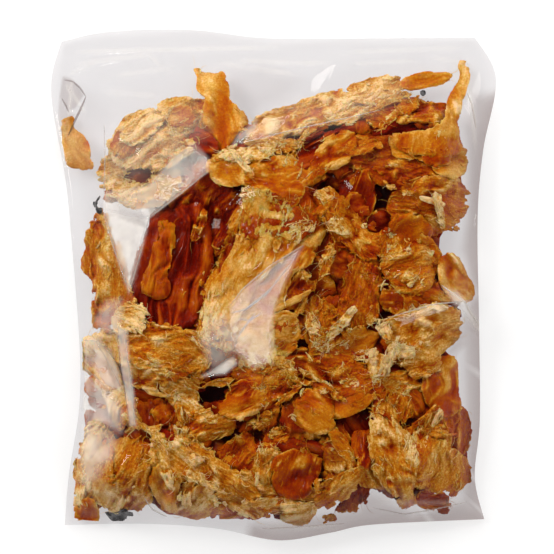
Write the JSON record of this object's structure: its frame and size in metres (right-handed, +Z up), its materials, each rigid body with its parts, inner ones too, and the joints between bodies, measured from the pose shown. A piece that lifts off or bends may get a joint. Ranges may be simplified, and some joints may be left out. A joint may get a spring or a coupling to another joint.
{
  "type": "sealed bag of dried stockfish pieces",
  "caption": "Clear sealed film bag lying on its back, packed full of torn dried stockfish fillet pieces whose lumps press up against the film.",
  "frame": {"origin": "on the ground under the middle of the bag's box", "axes": "+X across the bag, +Y from the foot to the sealed mouth, +Z up out of the shown side"},
  "size_m": [0.2232, 0.2558, 0.0356],
  "materials": {
    "fish_in_film": "golden brown dried fish seen through glossy clear film",
    "clear_film": "thin glossy crinkled packing film",
    "dried_fish": "dry translucent amber fish flesh with torn pale fibres"
  },
  "bodies": {
    "root": {"bag": "fish_in_film"}
  },
  "joints": []
}
